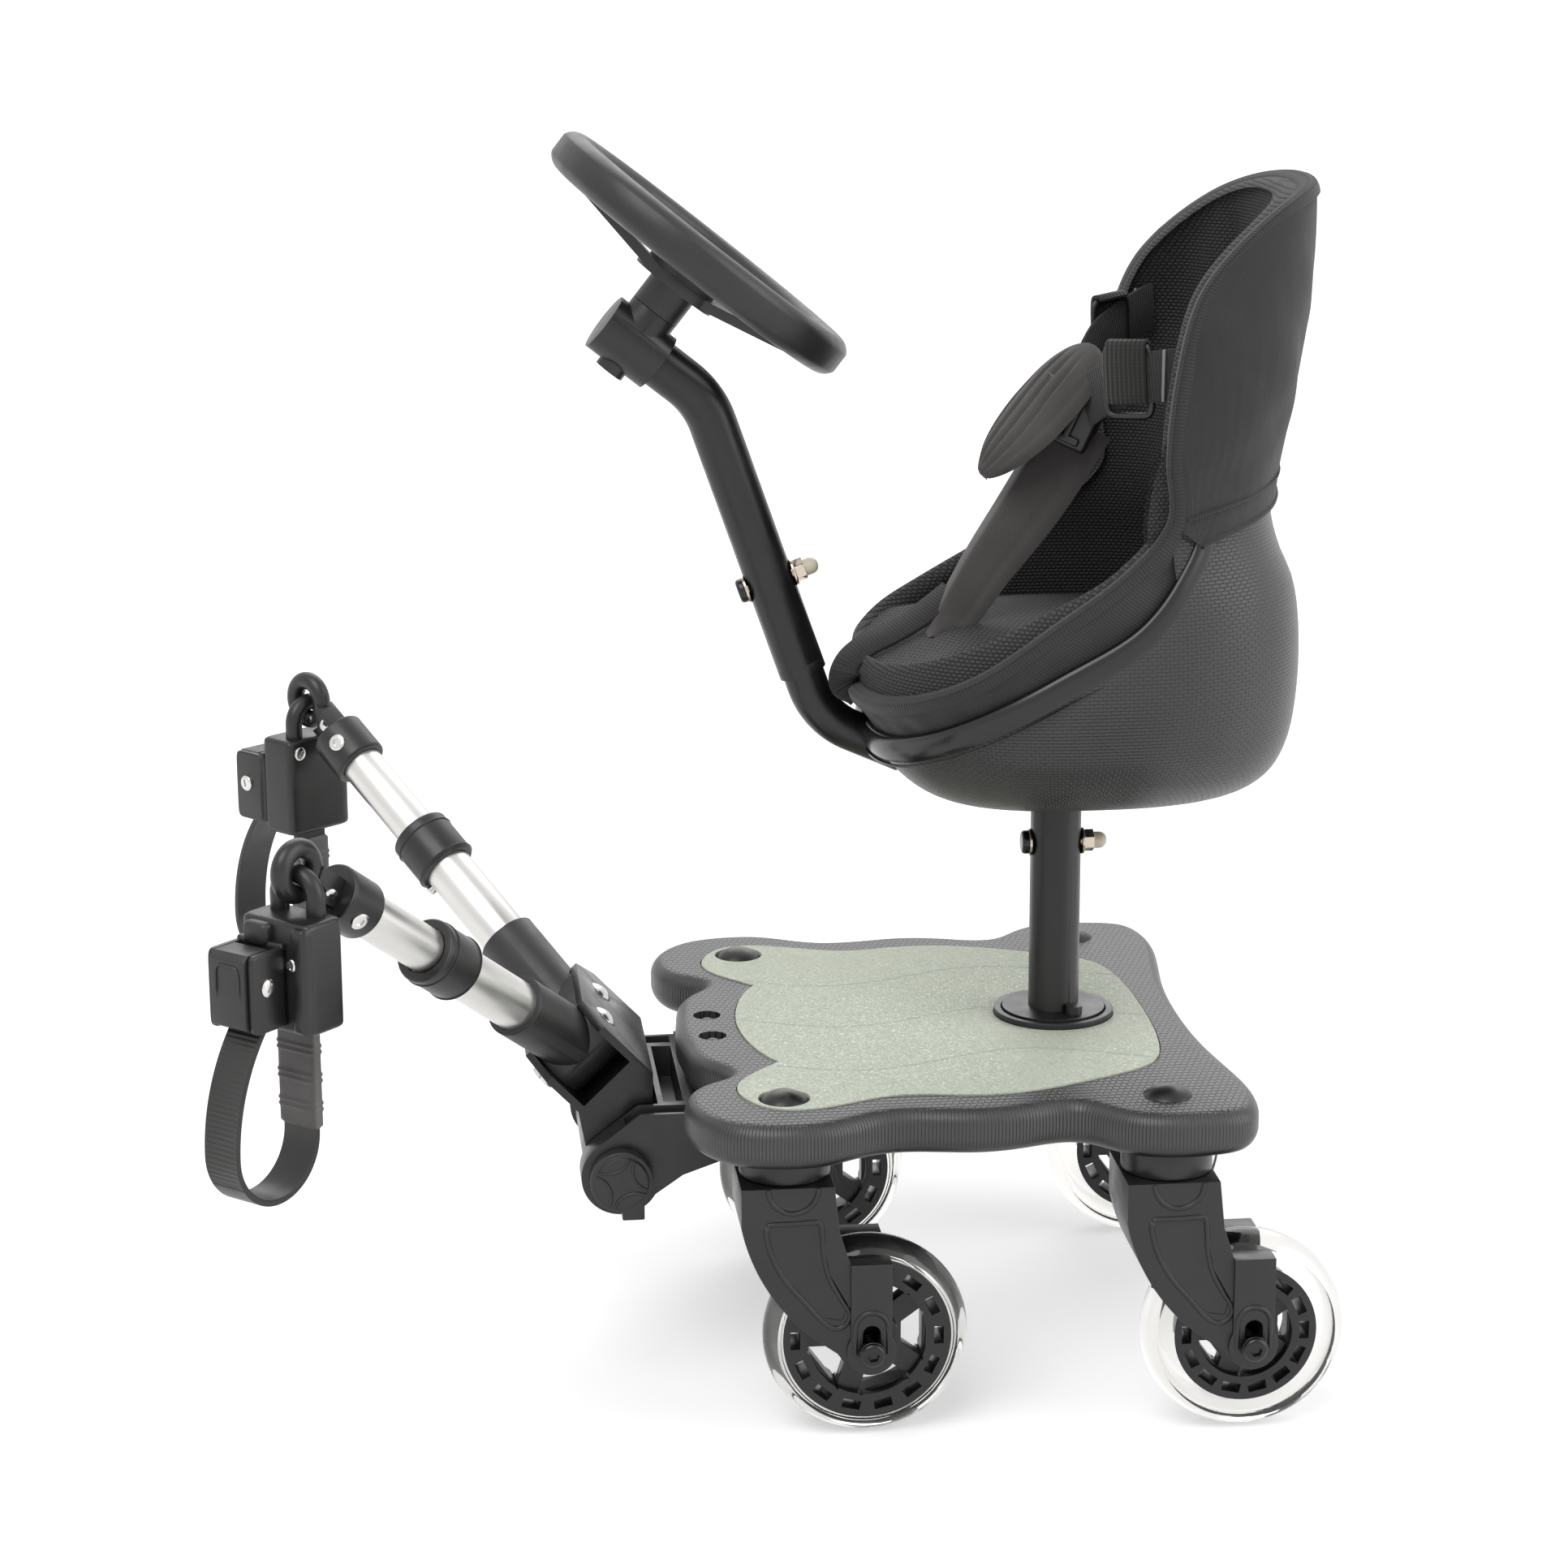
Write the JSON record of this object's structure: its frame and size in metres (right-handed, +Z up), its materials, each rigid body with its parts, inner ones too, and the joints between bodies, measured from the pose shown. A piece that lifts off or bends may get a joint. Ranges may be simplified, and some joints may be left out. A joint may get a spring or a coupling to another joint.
{
  "type": "buggy board",
  "caption": "Wheeled buggy board with swivel casters, telescopic arms ending in ratchet strap clamps, a bucket seat with harness and a toy steering wheel.",
  "frame": {"origin": "on the floor below the middle of the whole object", "axes": "+X towards the rear, away from the pushchair; +Y to the far side; +Z up"},
  "size_m": [0.5419, 0.413, 0.6174],
  "materials": {
    "deck_black": "fine moulded grain",
    "grip_green": "gritty sheet with fine glitter",
    "gloss_black": "polished",
    "satin_black": "satin moulded",
    "black_paint": "satin powder coat",
    "steel": "bright zinc",
    "aluminium": "clear anodised, fine grain",
    "clear_tyre": "clear cast polyurethane",
    "liner_mesh": "padded honeycomb mesh with piping",
    "webbing": "woven webbing",
    "strap_black": "toothed rubber"
  },
  "bodies": {
    "board": {"deck": "deck_black", "grip_pad": "grip_green", "deck_bolts": "gloss_black", "hitch_bracket": "satin_black", "seat_socket": "satin_black", "pivot_shaft": "steel", "pivot_knobs": "satin_black", "caster_collars": "satin_black"},
    "caster_front_near": {"fork_front_near": "satin_black"},
    "axle_front_near": {"axle_front_near": "steel"},
    "wheel_front_near": {"tyre_front_near": "clear_tyre", "hub_front_near": "gloss_black"},
    "caster_front_far": {"fork_front_far": "satin_black"},
    "axle_front_far": {"axle_front_far": "steel"},
    "wheel_front_far": {"tyre_front_far": "clear_tyre", "hub_front_far": "gloss_black"},
    "caster_rear_near": {"fork_rear_near": "satin_black"},
    "axle_rear_near": {"axle_rear_near": "steel"},
    "wheel_rear_near": {"tyre_rear_near": "clear_tyre", "hub_rear_near": "gloss_black"},
    "caster_rear_far": {"fork_rear_far": "satin_black"},
    "axle_rear_far": {"axle_rear_far": "steel"},
    "wheel_rear_far": {"tyre_rear_far": "clear_tyre", "hub_rear_far": "gloss_black"},
    "yoke": {"yoke": "satin_black", "yoke_bolts": "steel"},
    "arm_outer_near": {"arm_socket_near": "satin_black", "outer_tube_near": "aluminium", "tube_collar_near": "satin_black"},
    "button_near": {"spring_button_near": "steel"},
    "arm_inner_near": {"inner_tube_near": "aluminium", "end_fitting_near": "satin_black", "hook_near": "satin_black"},
    "gate_near": {"hook_gate_near": "steel"},
    "clamp_near": {"clamp_bail_near": "satin_black", "clamp_body_near": "satin_black", "ratchet_strap_near": "strap_black"},
    "lever_near": {"clamp_lever_near": "satin_black"},
    "arm_outer_far": {"arm_socket_far": "satin_black", "outer_tube_far": "aluminium", "tube_collar_far": "satin_black"},
    "button_far": {"spring_button_far": "steel"},
    "arm_inner_far": {"inner_tube_far": "aluminium", "end_fitting_far": "satin_black", "hook_far": "satin_black"},
    "gate_far": {"hook_gate_far": "steel"},
    "clamp_far": {"clamp_bail_far": "satin_black", "clamp_body_far": "satin_black", "ratchet_strap_far": "strap_black"},
    "lever_far": {"clamp_lever_far": "satin_black"},
    "seat": {"seat_post": "black_paint", "cross_bolts": "steel", "seat_shell": "satin_black", "seat_liner": "liner_mesh", "harness_straps": "webbing", "crotch_pad": "webbing", "steering_stem_lower": "black_paint", "steering_stem_upper": "black_paint", "steering_housing": "satin_black"},
    "steering_wheel": {"steering_wheel": "satin_black"}
  },
  "joints": [
    {"name": "swivel_front_near", "type": "hinge", "parent": "board", "child": "caster_front_near", "pos_m": [-0.0015, -0.116, 0.14], "axis": [0, 0, 1], "continuous": true},
    {"name": "suspension_front_near", "type": "slide", "parent": "caster_front_near", "child": "axle_front_near", "axis": [0, 0, 1], "range_m": [0, 0.009], "stiffness_N_per_m": 10000, "springref_m": -0.004},
    {"name": "spin_front_near", "type": "hinge", "parent": "axle_front_near", "child": "wheel_front_near", "pos_m": [0.0375, -0.116, 0.05], "axis": [0, 1, 0], "continuous": true},
    {"name": "swivel_front_far", "type": "hinge", "parent": "board", "child": "caster_front_far", "pos_m": [-0.0015, 0.116, 0.14], "axis": [0, 0, 1], "continuous": true},
    {"name": "suspension_front_far", "type": "slide", "parent": "caster_front_far", "child": "axle_front_far", "axis": [0, 0, 1], "range_m": [0, 0.009], "stiffness_N_per_m": 10000, "springref_m": -0.004},
    {"name": "spin_front_far", "type": "hinge", "parent": "axle_front_far", "child": "wheel_front_far", "pos_m": [0.0375, 0.116, 0.05], "axis": [0, 1, 0], "continuous": true},
    {"name": "swivel_rear_near", "type": "hinge", "parent": "board", "child": "caster_rear_near", "pos_m": [0.1815, -0.13, 0.14], "axis": [0, 0, 1], "continuous": true},
    {"name": "suspension_rear_near", "type": "slide", "parent": "caster_rear_near", "child": "axle_rear_near", "axis": [0, 0, 1], "range_m": [0, 0.009], "stiffness_N_per_m": 10000, "springref_m": -0.004},
    {"name": "spin_rear_near", "type": "hinge", "parent": "axle_rear_near", "child": "wheel_rear_near", "pos_m": [0.2205, -0.13, 0.05], "axis": [0, 1, 0], "continuous": true},
    {"name": "swivel_rear_far", "type": "hinge", "parent": "board", "child": "caster_rear_far", "pos_m": [0.1815, 0.13, 0.14], "axis": [0, 0, 1], "continuous": true},
    {"name": "suspension_rear_far", "type": "slide", "parent": "caster_rear_far", "child": "axle_rear_far", "axis": [0, 0, 1], "range_m": [0, 0.009], "stiffness_N_per_m": 10000, "springref_m": -0.004},
    {"name": "spin_rear_far", "type": "hinge", "parent": "axle_rear_far", "child": "wheel_rear_far", "pos_m": [0.2205, 0.13, 0.05], "axis": [0, 1, 0], "continuous": true},
    {"name": "hitch_tilt", "type": "hinge", "parent": "board", "child": "yoke", "pos_m": [-0.0767, 0, 0.1137], "axis": [0, 1, 0], "range_deg": [-45, 1]},
    {"name": "arm_swivel_near", "type": "hinge", "parent": "yoke", "child": "arm_outer_near", "pos_m": [-0.09496, -0.02, 0.16946], "axis": [0.7193, 0, 0.6947], "range_deg": [-20, 20]},
    {"name": "telescope_near", "type": "slide", "parent": "arm_outer_near", "child": "arm_inner_near", "axis": [-0.5474, -0.6157, 0.5668], "range_m": [-0.03, 0.03]},
    {"name": "button_press_near", "type": "slide", "parent": "arm_outer_near", "child": "button_near", "axis": [0.7193, 0, 0.6947], "range_m": [0, 0.0025], "stiffness_N_per_m": 600, "springref_m": -0.002},
    {"name": "hook_gate_near", "type": "hinge", "parent": "arm_inner_near", "child": "gate_near", "pos_m": [-0.22136, -0.16216, 0.29763], "axis": [0.7473, -0.6645, 0], "range_deg": [-12, 0], "stiffness_Nm_per_rad": 0.02, "springref_deg": 20.05},
    {"name": "clamp_swing_near", "type": "hinge", "parent": "arm_inner_near", "child": "clamp_near", "pos_m": [-0.22634, -0.16776, 0.30551], "axis": [0.7473, -0.6645, 0], "range_deg": [-45, 6]},
    {"name": "ratchet_lever_near", "type": "hinge", "parent": "clamp_near", "child": "lever_near", "pos_m": [-0.24561, -0.18943, 0.25851], "axis": [0.7473, -0.6645, 0], "range_deg": [0, 11], "stiffness_Nm_per_rad": 0.1, "springref_deg": -10.03},
    {"name": "arm_swivel_far", "type": "hinge", "parent": "yoke", "child": "arm_outer_far", "pos_m": [-0.09496, 0.02, 0.16946], "axis": [0.7193, 0, 0.6947], "range_deg": [-20, 20]},
    {"name": "telescope_far", "type": "slide", "parent": "arm_outer_far", "child": "arm_inner_far", "axis": [-0.5474, 0.6157, 0.5668], "range_m": [-0.03, 0.03]},
    {"name": "button_press_far", "type": "slide", "parent": "arm_outer_far", "child": "button_far", "axis": [0.7193, 0, 0.6947], "range_m": [0, 0.0025], "stiffness_N_per_m": 600, "springref_m": -0.002},
    {"name": "hook_gate_far", "type": "hinge", "parent": "arm_inner_far", "child": "gate_far", "pos_m": [-0.22136, 0.16216, 0.29763], "axis": [-0.7473, -0.6645, 0], "range_deg": [-12, 0], "stiffness_Nm_per_rad": 0.02, "springref_deg": 20.05},
    {"name": "clamp_swing_far", "type": "hinge", "parent": "arm_inner_far", "child": "clamp_far", "pos_m": [-0.22634, 0.16776, 0.30551], "axis": [-0.7473, -0.6645, 0], "range_deg": [-45, 6]},
    {"name": "ratchet_lever_far", "type": "hinge", "parent": "clamp_far", "child": "lever_far", "pos_m": [-0.24561, 0.18943, 0.25851], "axis": [-0.7473, -0.6645, 0], "range_deg": [0, 11], "stiffness_Nm_per_rad": 0.1, "springref_deg": -10.03},
    {"name": "seat_lift", "type": "slide", "parent": "board", "child": "seat", "axis": [0, 0, 1], "range_m": [0, 0.034]},
    {"name": "steering_spin", "type": "hinge", "parent": "seat", "child": "steering_wheel", "pos_m": [-0.0285, 0, 0.5594], "axis": [0.6225, 0, 0.7826], "continuous": true}
  ]
}
